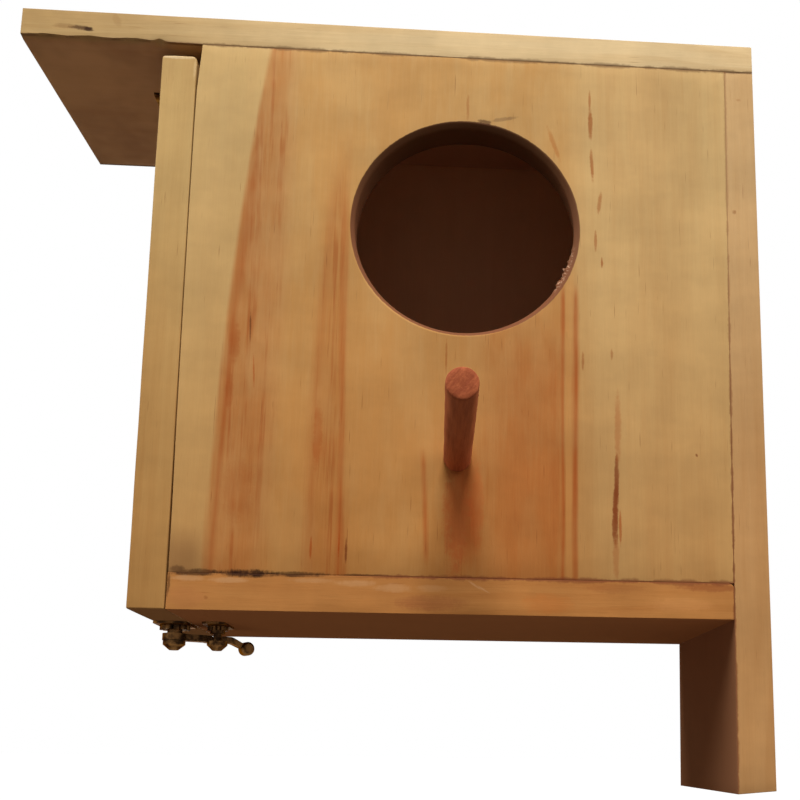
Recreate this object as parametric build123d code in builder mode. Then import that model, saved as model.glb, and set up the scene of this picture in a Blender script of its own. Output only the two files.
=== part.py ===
from build123d import *
from math import atan2, cos, degrees, radians, sin
import os

# A hanging wooden birdhouse with a side door, millimetres.
# X = 0 is the outer face of the mounting board, by which the box hangs; the box lies towards -X.
# The entrance looks towards -Y, Y = 0 is the middle of the depth, +Z is up.
# Z = 0 is half way up the mounting board.

# Boards
depth = 89.0  # width of every board, front to back
board_t = 12.0  # floor, front, back and door
roof_t = 10.4
mounting_t_top = 10.2  # the mounting board was sawn to a taper
mounting_t_bottom = 12.6
chamber_height = 188.0  # floor to roof
front_width = 184.0  # front and back boards, along their lower edge
roof_overhang = 49.3  # roof beyond the outer face of the door, at the middle of the depth
roof_end_skew = 2.6  # the free end was sawn out of square: its front corner stands out further
mounting_tail = 56.0  # mounting board below the floor

# Entrance and perch, measured from the lower corner of the front board on the door side
hole_x = 93.2
hole_z = 123.0
hole_radius = 38.1
hole_easing = 1.8  # sanded front arris of the entrance
perch_x = 91.8
perch_z = 40.2
perch_radius = 4.76
perch_reach = 78.6  # in front of the front board
perch_fit = 0.05  # radial gap in the bore
perch_tip_chamfer = 0.4

# Door
door_play = 0.6  # front board to door, at the bottom
floor_play = 0.4  # end of the floor to the door
door_lean = 1.5  # the top of the door stands out this far
door_top_gap = 5.0
door_inner_round = 1.8
door_outer_round = 1.2

# Butt hinge between the roof and the door
hinge_length = 25.0
hinge_leaf_t = 1.0
hinge_leaf_reach = 8.6  # from the pin's axis to the free edge of a leaf
hinge_knuckle_radius = 2.0
hinge_knuckle_count = 3
hinge_knuckle_play = 0.2  # along the pin
hinge_pin_radius = 0.9
hinge_pin_fit = 0.05
hinge_screw_spacing = 15.0
hinge_screw_reach = 6.0  # from the pin's axis

# Countersunk screws of the hinge and of the latch's plates
screw_head_radius = 1.9
screw_shank_radius = 0.9
screw_length = 8.0
screw_fit = 0.05

# Swing latch: an arm on the door's lower edge and a catch under the floor
catch_distance = 15.1  # between the two posts
latch_rest_angle = 30.0  # the arm stands this far off the catch, towards the back
latch_plate_t = 0.8
latch_plate_length = 22.0  # along the depth
latch_plate_corner = 1.8
latch_plate_width = 11.4
catch_plate_width = 8.0
latch_screw_spacing = 15.6
rosette_t = 1.4
latch_rosette_radius = 5.3
latch_groove_count = 10
latch_groove_depth = 0.9
catch_rosette_radius = 3.7
catch_groove_count = 14
catch_groove_depth = 0.5
post_shoulder_radius = 2.6
post_shoulder_height = 1.1
post_neck_radius = 1.5
post_head_height = 3.3
post_head_rim = 1.4  # straight rim of a head, above its cone
post_head_flat = 1.6  # radius of the flat at its tip
latch_head_radius = 3.9
catch_head_radius = 3.6
post_shank_radius = 1.3
post_shank_depth = 9.0  # into the board
post_fit = 0.05
arm_t = 2.4
arm_play = 0.15  # above and below the arm
arm_bore_fit = 0.1
arm_eye_radius = 4.2
arm_width = 4.4
hook_radius = 4.4
hook_lip = 1.6  # the hook reaches this far past the catch post's axis
hook_clearance = 0.3  # round the catch post's neck
tail_width = 3.0
tail_t = 1.9  # where it meets the knob
tail_bend = 20.9  # from the pivot to where the tail turns down
tail_bend_radius = 3.6
tail_length = 26.9  # from the pivot to the middle of the knob
tail_drop = 2.7
knob_radius = 2.5
knob_width = 4.6
knob_easing = 0.7

# Heights
mounting_height = chamber_height + board_t + mounting_tail
roof_z = mounting_height / 2  # underside of the roof
floor_z = roof_z - chamber_height  # upper face of the floor
under_z = floor_z - board_t  # lower face of the floor and of the door
tail_z = -mounting_height / 2
door_top_z = roof_z - door_top_gap


def mounting_face_x(z):
    """Inner face of the tapered mounting board at height z."""
    share = (z - tail_z) / mounting_height
    return -(mounting_t_bottom + (mounting_t_top - mounting_t_bottom) * share)


# Places along X
front_left = mounting_face_x(floor_z) - front_width
door_in_x = front_left - door_play
door_out_x = door_in_x - board_t
roof_left = door_out_x - roof_overhang
front_y = -depth / 2


def door_face_x(z):
    """Outer face of the leaning door at height z."""
    return door_out_x - door_lean * (z - under_z) / (door_top_z - under_z)


def across(y):
    """Plane that looks along the depth, at y. Its local Y is the height."""
    return Plane.XZ.offset(-y)


# Hinge: its axis runs along Y, below the roof and outside the door
lean_angle = atan2(door_lean, door_top_z - under_z)
hinge_z = roof_z - hinge_knuckle_radius
hinge_x = door_face_x(hinge_z) - hinge_knuckle_radius / cos(lean_angle)
hinge_screw_places = [
    (-hinge_screw_spacing / 2, hinge_screw_reach),
    (hinge_screw_spacing / 2, hinge_screw_reach),
]

# Latch and catch: their posts are in the middle of the door's thickness and under the floor
latch_x = (door_in_x + door_out_x) / 2
catch_x = latch_x + catch_distance
latch_screw_places = [(-latch_screw_spacing / 2, 0), (latch_screw_spacing / 2, 0)]

# Seats of the metal on the wood: local Z points into the wood, local X along the hinge or the depth
roof_seat = Plane(origin=(hinge_x, 0, roof_z), x_dir=(0, 1, 0), z_dir=(0, 0, 1))
door_seat = Plane(
    origin=(
        hinge_x + hinge_knuckle_radius * cos(lean_angle),
        0,
        hinge_z + hinge_knuckle_radius * sin(lean_angle),
    ),
    x_dir=(0, -1, 0),
    z_dir=(cos(lean_angle), 0, sin(lean_angle)),
)
latch_seat = Plane(origin=(latch_x, 0, under_z), x_dir=(0, 1, 0), z_dir=(0, 0, 1))
catch_seat = Plane(origin=(catch_x, 0, under_z), x_dir=(0, 1, 0), z_dir=(0, 0, 1))

# Roof, floor and mounting board
with BuildPart() as roof_board:
    with BuildSketch(Plane.XY.offset(roof_z)):
        with BuildLine():
            Polyline(
                (roof_left - roof_end_skew / 2, front_y),
                (0, front_y),
                (0, -front_y),
                (roof_left + roof_end_skew / 2, -front_y),
                close=True,
            )
        make_face()
    extrude(amount=roof_t)
    with BuildSketch(roof_seat):
        with Locations(*hinge_screw_places):
            Circle(screw_shank_radius + screw_fit)
    extrude(amount=screw_length - hinge_leaf_t, mode=Mode.SUBTRACT)
roof_board.part.label = "roof_board"

with BuildPart() as floor_board:
    with BuildSketch(across(0)):
        with BuildLine():
            Polyline(
                (door_in_x + floor_play, under_z),
                (mounting_face_x(under_z), under_z),
                (mounting_face_x(floor_z), floor_z),
                (door_in_x + floor_play, floor_z),
                close=True,
            )
        make_face()
    extrude(amount=depth / 2, both=True)
    with BuildSketch(catch_seat):
        Circle(post_shank_radius + post_fit)
    extrude(amount=post_shank_depth, mode=Mode.SUBTRACT)
    with BuildSketch(catch_seat):
        with Locations(*latch_screw_places):
            Circle(screw_shank_radius + screw_fit)
    extrude(amount=screw_length - latch_plate_t, mode=Mode.SUBTRACT)
floor_board.part.label = "floor_board"

with BuildPart() as mounting_board:
    with BuildSketch(across(0)):
        with BuildLine():
            Polyline(
                (0, tail_z),
                (0, roof_z),
                (mounting_face_x(roof_z), roof_z),
                (mounting_face_x(tail_z), tail_z),
                close=True,
            )
        make_face()
    extrude(amount=depth / 2, both=True)
mounting_board.part.label = "mounting_board"


# Outline shared by the front and back boards
end_board_corners = [
    (front_left, floor_z),
    (mounting_face_x(floor_z), floor_z),
    (mounting_face_x(roof_z), roof_z),
    (front_left, roof_z),
]

# Front board with the entrance and the bore of the perch
with BuildPart() as front_board:
    with BuildSketch(across(front_y + board_t)):
        with BuildLine():
            Polyline(*end_board_corners, close=True)
        make_face()
        with Locations((front_left + hole_x, floor_z + hole_z)):
            Circle(hole_radius, mode=Mode.SUBTRACT)
        with Locations((front_left + perch_x, floor_z + perch_z)):
            Circle(perch_radius + perch_fit, mode=Mode.SUBTRACT)
    extrude(amount=board_t)
    front_face = front_board.faces().sort_by(Axis.Y)[0]
    entrance_arris = front_face.edges().filter_by(GeomType.CIRCLE).sort_by(SortBy.RADIUS)[-1]
    chamfer(entrance_arris, hole_easing)
front_board.part.label = "front_board"

with BuildPart() as back_board:
    with BuildSketch(across(depth / 2)):
        with BuildLine():
            Polyline(*end_board_corners, close=True)
        make_face()
    extrude(amount=board_t)
back_board.part.label = "back_board"

with BuildPart() as perch_dowel:
    with BuildSketch(across(front_y + board_t)):
        with Locations((front_left + perch_x, floor_z + perch_z)):
            Circle(perch_radius)
    extrude(amount=board_t + perch_reach)
    chamfer(perch_dowel.faces().sort_by(Axis.Y)[0].edges(), perch_tip_chamfer)
perch_dowel.part.label = "perch_dowel"

# Door, rounded along its top edge
with BuildPart() as door_board:
    with BuildSketch(across(0)) as door_profile:
        with BuildLine():
            Polyline(
                (door_out_x, under_z),
                (door_in_x, under_z),
                (door_in_x - door_lean, door_top_z),
                (door_out_x - door_lean, door_top_z),
                close=True,
            )
        make_face()
        top_corners = door_profile.vertices().group_by(Axis.Y)[-1].sort_by(Axis.X)
        fillet(top_corners[-1], door_inner_round)
        top_corners = door_profile.vertices().group_by(Axis.Y)[-1].sort_by(Axis.X)
        fillet(top_corners[0], door_outer_round)
    extrude(amount=depth / 2, both=True)
    with BuildSketch(latch_seat):
        Circle(post_shank_radius + post_fit)
    extrude(amount=post_shank_depth, mode=Mode.SUBTRACT)
    with BuildSketch(latch_seat):
        with Locations(*latch_screw_places):
            Circle(screw_shank_radius + screw_fit)
    extrude(amount=screw_length - latch_plate_t, mode=Mode.SUBTRACT)
    with BuildSketch(door_seat):
        with Locations(*hinge_screw_places):
            Circle(screw_shank_radius + screw_fit)
    extrude(amount=screw_length - hinge_leaf_t, mode=Mode.SUBTRACT)
door_board.part.label = "door_board"

knuckle_length = hinge_length / hinge_knuckle_count


def countersink_angle(plate_t):
    """Half angle, in degrees, of a head that fills a plate of this thickness."""
    return degrees(atan2(screw_head_radius - screw_shank_radius, plate_t))


def screw_pair(seat, places, plate_t):
    """Two countersunk screws, flush with the face of the plate that they hold."""
    with BuildPart() as screws:
        with BuildSketch(seat):
            with Locations(*places):
                Circle(screw_shank_radius)
        extrude(amount=screw_length - plate_t)
        with BuildSketch(seat):
            with Locations(*places):
                Circle(screw_shank_radius)
        extrude(amount=-plate_t, taper=-countersink_angle(plate_t))
    return screws.part


def hinge_leaf(seat, knuckles):
    """One leaf of the hinge.

    seat is a plane on the wood: its local X runs along the hinge, its local Y from the pin's axis to
    the free edge and its local Z into the wood. knuckles are the places of this leaf's knuckles.
    """
    with BuildPart() as leaf:
        with BuildSketch(seat):
            with Locations((0, hinge_leaf_reach / 2)):
                Rectangle(hinge_length, hinge_leaf_reach)
            for place in range(hinge_knuckle_count):
                if place not in knuckles:
                    middle = (place - (hinge_knuckle_count - 1) / 2) * knuckle_length
                    with Locations((middle * seat.x_dir.Y, 0)):
                        Rectangle(
                            knuckle_length + hinge_knuckle_play,
                            2 * (hinge_knuckle_radius + hinge_knuckle_play),
                            mode=Mode.SUBTRACT,
                        )
        extrude(amount=-hinge_leaf_t)
        for place in knuckles:
            middle = (place - (hinge_knuckle_count - 1) / 2) * knuckle_length
            with BuildSketch(across(middle)):
                with Locations((hinge_x, hinge_z)):
                    Circle(hinge_knuckle_radius)
            extrude(amount=(knuckle_length - hinge_knuckle_play) / 2, both=True)
        with BuildSketch(across(0)):
            with Locations((hinge_x, hinge_z)):
                Circle(hinge_pin_radius + hinge_pin_fit)
        extrude(amount=hinge_length, both=True, mode=Mode.SUBTRACT)
        with BuildSketch(seat):
            with Locations(*hinge_screw_places):
                Circle(screw_shank_radius + screw_fit)
        extrude(amount=-hinge_leaf_t, taper=-countersink_angle(hinge_leaf_t), mode=Mode.SUBTRACT)
    return leaf.part


hinge_roof_leaf = hinge_leaf(roof_seat, range(0, hinge_knuckle_count, 2))
hinge_roof_leaf.label = "hinge_roof_leaf"
hinge_door_leaf = hinge_leaf(door_seat, range(1, hinge_knuckle_count, 2))
hinge_door_leaf.label = "hinge_door_leaf"
hinge_roof_screws = screw_pair(roof_seat, hinge_screw_places, hinge_leaf_t)
hinge_roof_screws.label = "hinge_roof_screws"
hinge_door_screws = screw_pair(door_seat, hinge_screw_places, hinge_leaf_t)
hinge_door_screws.label = "hinge_door_screws"

with BuildPart() as hinge_pin:
    with BuildSketch(across(0)):
        with Locations((hinge_x, hinge_z)):
            Circle(hinge_pin_radius)
    extrude(amount=hinge_length / 2, both=True)
hinge_pin.part.label = "hinge_pin"

# Latch and catch: heights below the door and the floor
plate_bottom_z = under_z - latch_plate_t
rosette_bottom_z = plate_bottom_z - rosette_t
arm_top_z = rosette_bottom_z - post_shoulder_height - arm_play
arm_bottom_z = arm_top_z - arm_t
head_top_z = arm_bottom_z - arm_play


def plate(seat, width):
    """A base plate with its corners cut off, screwed to the wood at both ends."""
    with BuildPart() as base:
        with BuildSketch(seat) as outline:
            Rectangle(latch_plate_length, width)
            chamfer(outline.vertices(), latch_plate_corner)
            Circle(post_shank_radius + post_fit, mode=Mode.SUBTRACT)
        extrude(amount=-latch_plate_t)
        with BuildSketch(seat):
            with Locations(*latch_screw_places):
                Circle(screw_shank_radius + screw_fit)
        extrude(amount=-latch_plate_t, taper=-countersink_angle(latch_plate_t), mode=Mode.SUBTRACT)
    return base.part


def rosette(seat, radius, groove_count, groove_depth):
    """A round boss with upright grooves round its rim, between a plate and the head of its post."""
    with BuildPart() as boss:
        with BuildSketch(seat.offset(-latch_plate_t)):
            Circle(radius)
            with PolarLocations(radius, groove_count):
                RegularPolygon(groove_depth, 4, mode=Mode.SUBTRACT)
            Circle(post_shank_radius + post_fit, mode=Mode.SUBTRACT)
        extrude(amount=-rosette_t)
    return boss.part


def post(x, head_radius):
    """A shouldered post with a pointed head, pointing down from a rosette."""
    top = under_z + post_shank_depth
    neck_top = rosette_bottom_z - post_shoulder_height
    head_bottom = head_top_z - post_head_height
    with BuildPart() as screw:
        with BuildSketch(Plane.XZ):
            with BuildLine():
                Polyline(
                    (x, head_bottom),
                    (x, top),
                    (x + post_shank_radius, top),
                    (x + post_shank_radius, rosette_bottom_z),
                    (x + post_shoulder_radius, rosette_bottom_z),
                    (x + post_shoulder_radius, neck_top),
                    (x + post_neck_radius, neck_top),
                    (x + post_neck_radius, head_top_z),
                    (x + head_radius, head_top_z),
                    (x + head_radius, head_top_z - post_head_rim),
                    (x + post_head_flat, head_bottom),
                    close=True,
                )
            make_face()
        revolve(axis=Axis((x, 0, 0), (0, 0, 1)))
    return screw.part


latch_plate = plate(latch_seat, latch_plate_width)
latch_plate.label = "latch_plate"
catch_plate = plate(catch_seat, catch_plate_width)
catch_plate.label = "catch_plate"
latch_screws = screw_pair(latch_seat, latch_screw_places, latch_plate_t)
latch_screws.label = "latch_screws"
catch_screws = screw_pair(catch_seat, latch_screw_places, latch_plate_t)
catch_screws.label = "catch_screws"
latch_rosette = rosette(latch_seat, latch_rosette_radius, latch_groove_count, latch_groove_depth)
latch_rosette.label = "latch_rosette"
catch_rosette = rosette(catch_seat, catch_rosette_radius, catch_groove_count, catch_groove_depth)
catch_rosette.label = "catch_rosette"
latch_post = post(latch_x, latch_head_radius)
latch_post.label = "latch_post"
catch_post = post(catch_x, catch_head_radius)
catch_post.label = "catch_post"

# Latch arm, drawn along its own length from the pivot; the notch of its hook opens to the front
rest_angle = radians(latch_rest_angle)
arm_plane = Plane(
    origin=(latch_x, 0, arm_bottom_z), x_dir=(cos(rest_angle), sin(rest_angle), 0), z_dir=(0, 0, 1)
)
tail_plane = Plane(origin=arm_plane.origin, x_dir=arm_plane.x_dir, z_dir=-arm_plane.y_dir)
notch_radius = post_neck_radius + hook_clearance
knob_z = arm_t / 2 - tail_drop

with BuildPart() as latch_arm:
    with BuildSketch(tail_plane):
        with Locations((tail_length, knob_z)):
            Circle(knob_radius)
    extrude(amount=knob_width / 2, both=True)
    chamfer(latch_arm.edges().filter_by(GeomType.CIRCLE), knob_easing)
    with BuildSketch(tail_plane) as tail_profile:
        with BuildLine():
            Polyline(
                (catch_distance + notch_radius, arm_t),
                (tail_bend, arm_t),
                (tail_length, knob_z + tail_t / 2),
                (tail_length, knob_z - tail_t / 2),
                (tail_bend, 0),
                (catch_distance + notch_radius, 0),
                close=True,
            )
        make_face()
        bends = tail_profile.vertices().sort_by(Axis.X)[2:4]
        fillet(bends, tail_bend_radius)
    extrude(amount=tail_width / 2, both=True)
    with BuildSketch(arm_plane):
        Circle(arm_eye_radius)
        with Locations((catch_distance / 2, 0)):
            Rectangle(catch_distance, arm_width)
        with Locations((catch_distance, 0)):
            Circle(hook_radius)
            with Locations((0, -hook_lip - hook_radius / 2)):
                Rectangle(2 * hook_radius, hook_radius, mode=Mode.SUBTRACT)
            Circle(notch_radius, mode=Mode.SUBTRACT)
            with Locations((0, -hook_radius / 2)):
                Rectangle(2 * notch_radius, hook_radius, mode=Mode.SUBTRACT)
        Circle(post_neck_radius + arm_bore_fit, mode=Mode.SUBTRACT)
    extrude(amount=arm_t)
latch_arm.part.label = "latch_arm"

os.makedirs("parts", exist_ok=True)
export_step(roof_board.part, "parts/roof_board.step")
export_step(floor_board.part, "parts/floor_board.step")
export_step(front_board.part, "parts/front_board.step")
export_step(back_board.part, "parts/back_board.step")
export_step(mounting_board.part, "parts/mounting_board.step")
export_step(door_board.part, "parts/door_board.step")
export_step(perch_dowel.part, "parts/perch_dowel.step")
export_step(hinge_roof_leaf, "parts/hinge_roof_leaf.step")
export_step(hinge_door_leaf, "parts/hinge_door_leaf.step")
export_step(hinge_pin.part, "parts/hinge_pin.step")
export_step(hinge_roof_screws, "parts/hinge_roof_screws.step")
export_step(hinge_door_screws, "parts/hinge_door_screws.step")
export_step(latch_plate, "parts/latch_plate.step")
export_step(latch_screws, "parts/latch_screws.step")
export_step(latch_rosette, "parts/latch_rosette.step")
export_step(latch_post, "parts/latch_post.step")
export_step(latch_arm.part, "parts/latch_arm.step")
export_step(catch_plate, "parts/catch_plate.step")
export_step(catch_screws, "parts/catch_screws.step")
export_step(catch_rosette, "parts/catch_rosette.step")
export_step(catch_post, "parts/catch_post.step")

print("hinge axis", hinge_x, hinge_z, "latch axis", latch_x, "arm from", arm_bottom_z, "to", arm_top_z)
print("roof left", roof_left, "door", door_out_x, door_in_x, "front left", front_left)
print("roof", roof_z, "floor", floor_z, "under", under_z)
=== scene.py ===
import math

import bpy
import numpy as np
from mathutils import Euler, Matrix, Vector, noise


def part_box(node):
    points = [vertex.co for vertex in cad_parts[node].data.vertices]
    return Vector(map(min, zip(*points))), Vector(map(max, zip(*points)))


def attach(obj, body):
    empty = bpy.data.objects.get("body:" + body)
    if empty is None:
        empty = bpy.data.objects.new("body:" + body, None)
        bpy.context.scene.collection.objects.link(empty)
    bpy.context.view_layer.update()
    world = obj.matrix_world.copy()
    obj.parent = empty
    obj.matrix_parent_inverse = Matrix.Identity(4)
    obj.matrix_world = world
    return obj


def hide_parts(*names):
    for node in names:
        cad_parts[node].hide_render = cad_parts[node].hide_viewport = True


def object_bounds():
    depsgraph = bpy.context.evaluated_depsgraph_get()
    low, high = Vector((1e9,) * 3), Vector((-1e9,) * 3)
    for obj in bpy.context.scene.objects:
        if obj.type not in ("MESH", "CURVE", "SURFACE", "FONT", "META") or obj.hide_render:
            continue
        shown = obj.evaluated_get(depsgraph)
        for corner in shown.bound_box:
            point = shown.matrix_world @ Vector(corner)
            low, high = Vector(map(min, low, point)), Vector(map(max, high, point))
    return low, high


# Looks of the wooden birdhouse. Lengths are in metres; MM turns millimetres into metres.
# The entrance looks towards -Y, the box hangs by the board at X = 0 and lies towards -X.

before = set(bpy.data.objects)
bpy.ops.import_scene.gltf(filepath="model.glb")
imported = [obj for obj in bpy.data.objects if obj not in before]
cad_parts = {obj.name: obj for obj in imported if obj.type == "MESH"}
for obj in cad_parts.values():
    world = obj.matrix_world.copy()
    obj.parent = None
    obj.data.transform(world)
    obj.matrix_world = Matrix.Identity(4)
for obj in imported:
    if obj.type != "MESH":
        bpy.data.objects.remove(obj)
cad_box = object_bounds()
MM = 0.001

# Camera, at the photograph's viewing angle
CAMERA_PLACE = (-111.8 * MM, -408.1 * MM, -114.7 * MM)
CAMERA_TURN = (100.915, -0.610, -3.803)  # degrees
CAMERA_LENS = 50.77
CAMERA_SHIFT = (-0.13, 0.165)
CAMERA_NEAR = 0.01

# Boards
ARRIS = 0.16 * MM  # rounding of a sawn edge
WORN_ARRIS = 0.6 * MM  # and of an edge that hands have worn
GRID = 4.0 * MM  # spacing of a board's mesh
TINY = 1e-9


def linear(red, green, blue):
    """Linear colour of an 8-bit display colour."""
    shares = [c / 255 for c in (red, green, blue)]
    return tuple(s / 12.92 if s <= 0.04045 else ((s + 0.055) / 1.055) ** 2.4 for s in shares) + (1.0,)


# Materials


class Graph:
    """Short calls that build the nodes of one material."""

    def __init__(self, name):
        self.material = bpy.data.materials.new(name)
        self.material.use_nodes = True
        self.tree = self.material.node_tree
        self.shader = self.tree.nodes["Principled BSDF"]

    def feed(self, socket, value):
        if isinstance(value, bpy.types.NodeSocket):
            self.tree.links.new(value, socket)
        else:
            socket.default_value = value

    def node(self, kind, inputs, **settings):
        made = self.tree.nodes.new(kind)
        for key, value in settings.items():
            setattr(made, key, value)
        for key, value in inputs.items():
            self.feed(made.inputs[key], value)
        return made

    def math(self, operation, *values):
        return self.node("ShaderNodeMath", dict(enumerate(values)), operation=operation).outputs[0]

    def mix(self, share, a, b, blend="MIX"):
        inputs = {0: share, 6: a, 7: b}
        return self.node("ShaderNodeMix", inputs, data_type="RGBA", blend_type=blend).outputs[2]

    def product(self, *values):
        made = values[0]
        for value in values[1:]:
            made = self.math("MULTIPLY", made, value)
        return made

    def squares(self, a, b):
        """The sum of the squares of a and b."""
        return self.math("MULTIPLY_ADD", a, a, self.math("MULTIPLY", b, b))

    def shifted(self, base, value, middle, factor):
        """base, moved by factor times how far value is from middle."""
        return self.math("MULTIPLY_ADD", self.math("SUBTRACT", value, middle), factor, base)

    def smooth(self, value, low, high, start=0.0, end=1.0):
        """Smooth step of value from start at low to end at high."""
        inputs = {"Value": value, "From Min": low, "From Max": high, "To Min": start, "To Max": end}
        return self.node("ShaderNodeMapRange", inputs, interpolation_type="SMOOTHSTEP").outputs[0]

    def fall(self, value, low, high):
        """Smooth step of value from 1 at low to 0 at high."""
        return self.smooth(value, low, high, 1.0, 0.0)

    def noise(self, vector, scale, detail=2.0, roughness=0.5):
        inputs = {"Vector": vector, "Scale": scale, "Detail": detail, "Roughness": roughness}
        return self.node("ShaderNodeTexNoise", inputs).outputs[0]

    def vector(self, x, y, z):
        return self.node("ShaderNodeCombineXYZ", {0: x, 1: y, 2: z}).outputs[0]

    def millimetres(self):
        """The point's x, y and z on the object at rest, in millimetres."""
        point = self.node("ShaderNodeTexCoord", {}).outputs["Object"]
        parts = self.node("ShaderNodeSeparateXYZ", {0: point}).outputs
        return [self.math("MULTIPLY", part, 1 / MM) for part in parts]

    def surface(self, **values):
        """Feeds the shader's sockets; an underscore stands for a space in a socket's name."""
        for name, value in values.items():
            self.feed(self.shader.inputs[name.replace("_", " ")], value)

    def bump(self, height, distance, strength):
        inputs = {"Height": height, "Distance": distance, "Strength": strength}
        self.surface(Normal=self.node("ShaderNodeBump", inputs).outputs[0])


class Mark:
    """A band or streak that runs with the grain, in millimetres.

    left and right are points (along, across) that its two edges pass, soft is how far each edge
    fades, and ends are where it starts and stops along the grain, with the length of their fade.
    strands says how much fine dark resin shows in it.
    """

    def __init__(self, left, right, soft, ends, fade, colour, strength, strands=0.0):
        self.left, self.right = left, right
        self.soft, self.ends, self.fade = soft, ends, fade
        self.colour, self.strength, self.strands = linear(*colour), strength, strands


def streak(points, width, colour, strength, soft, fade=8.0):
    """A narrow mark of one width along a line of points (along, across)."""
    left = [(along, across - width / 2) for along, across in points]
    right = [(along, across + width / 2) for along, across in points]
    ends = (min(p[0] for p in points), max(p[0] for p in points))
    return Mark(left, right, (soft, soft), ends, fade, colour, strength)


def edge_distance(graph, along, across, points):
    """Distance across the grain from a smooth line through points (along, across)."""
    places = [p[0] for p in points]
    values = [p[1] for p in points]
    factors = np.polyfit(places, values, len(points) - 1)
    line = float(factors[0])
    for factor in factors[1:]:
        line = graph.math("MULTIPLY_ADD", line, along, float(factor))
    return graph.math("SUBTRACT", across, line)


def mark_share(graph, mark, along, across):
    """How strongly a mark shows at a point."""
    from_left = edge_distance(graph, along, across, mark.left)
    from_right = edge_distance(graph, along, across, mark.right)
    start, end = mark.ends
    return graph.product(
        graph.smooth(from_left, -mark.soft[0], mark.soft[0]),
        graph.fall(from_right, -mark.soft[1], mark.soft[1]),
        graph.smooth(along, start - mark.fade, start),
        graph.fall(along, end, end + mark.fade),
    )


class Seam:
    """A dark line where two boards meet, as the front and back of the box show it: painted shade in the
    joint, with some stain.

    It is at place along axis, X or Z, and moves by tilt for each millimetre along the other one.
    fade is (from, to, share): along the other one its strength falls to that share.
    """

    def __init__(self, axis, place, tilt, width, strength, colour, fade=None):
        self.axis, self.place, self.tilt, self.width = axis, place, tilt, width
        self.strength, self.colour, self.fade = strength, linear(*colour), fade


SEAM_EDGE = (0.32, 0.7, 0.35, 1.8)  # wobble noise from and to, and the share of a seam's width at each
OUTER_FACES = (43.0, 43.8)  # seams fade in between these distances from the middle of the depth


def seam_share(graph, seam, point, seam_wobble):
    """How strongly a seam shows at a point."""
    x, y, z = point
    here, other = (x, z) if seam.axis == "X" else (z, x)
    line = graph.math("MULTIPLY_ADD", other, seam.tilt, seam.place)
    away = graph.math("ABSOLUTE", graph.math("SUBTRACT", here, line))
    low, high, narrow, wide = SEAM_EDGE
    reach = graph.smooth(seam_wobble, low, high, narrow * seam.width, wide * seam.width)
    shown = graph.smooth(graph.math("DIVIDE", away, reach), 0.1, 1.0, seam.strength, 0.0)
    if seam.fade:
        start, end, kept = seam.fade
        shown = graph.product(shown, graph.smooth(other, start, end, 1.0, kept))
    return graph.product(shown, graph.smooth(graph.math("ABSOLUTE", y), *OUTER_FACES))


RUST = (166, 90, 40)


class Fleck:
    """A small mark: its place along X and Z, its half widths, in millimetres, and its tilt in degrees."""

    def __init__(self, x, z, wide, high, colour, strength, tilt=0.0):
        self.x, self.z, self.wide, self.high = x, z, wide, high
        self.colour, self.strength, self.tilt = linear(*colour), strength, math.radians(tilt)


FRAY = 2.3  # how far noise frays a fleck


def fleck_share(graph, fleck, x, z, ragged):
    """How strongly a fleck shows at a point; ragged is noise that frays its outline."""
    dx = graph.math("SUBTRACT", x, fleck.x)
    dz = graph.math("SUBTRACT", z, fleck.z)
    cosine, sine = math.cos(fleck.tilt), math.sin(fleck.tilt)
    u = graph.math("MULTIPLY_ADD", dx, cosine / fleck.wide, graph.math("MULTIPLY", dz, sine / fleck.wide))
    v = graph.math("MULTIPLY_ADD", dz, cosine / fleck.high, graph.math("MULTIPLY", dx, -sine / fleck.high))
    away = graph.shifted(graph.squares(u, v), ragged, 0.5, FRAY)
    return graph.smooth(away, 0.1, 1.0, fleck.strength, 0.0)


RESIN = linear(160, 82, 34)
PORE = linear(150, 96, 56)
BOTTOM_TINT = linear(248, 226, 206)
BARE = linear(228, 180, 142)  # unoiled and dusty inside the box
BARE_SHARE = 0.8
# Where the bare wood starts and ends, in millimetres, each as a short fade
BARE_DEPTH = (32.6, 33.2)
BARE_LEFT, BARE_RIGHT = (-199.4, -198.8), (-8.8, -8.2)
BARE_BOTTOM, BARE_TOP = (-60.3, -60.1), (128.5, 128.8)


def bare_inside(graph, point, colour):
    """Browner wood on the faces inside the box."""
    x, y, z = point
    inside = graph.product(
        graph.fall(graph.math("ABSOLUTE", y), *BARE_DEPTH),
        graph.smooth(x, *BARE_LEFT), graph.fall(x, *BARE_RIGHT),
        graph.smooth(z, *BARE_BOTTOM), graph.fall(z, *BARE_TOP),
    )
    return graph.mix(graph.product(inside, BARE_SHARE), colour, BARE)


# How much the patterns of the wood are drawn out along the fibres: the smaller, the longer
FIBRE_STRETCH = 0.04
FIGURE_STRETCH = 0.16
PATCH_STRETCH = 0.3
# How far noise moves the rings, the marks and the flecks, in millimetres
RING_WANDER = 26.0
RING_RIPPLE = 3.0
MARK_SWAY = 3.2
FLECK_SWAY = 1.6
TINT_LOW, TINT_HIGH = -90.0, 120.0  # heights where the tint is strongest and weakest
WOOD_ROUGH = (0.5, 0.68)
OILED_GLOSS = 0.06
WOOD_RELIEF = 0.09 * MM


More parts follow.
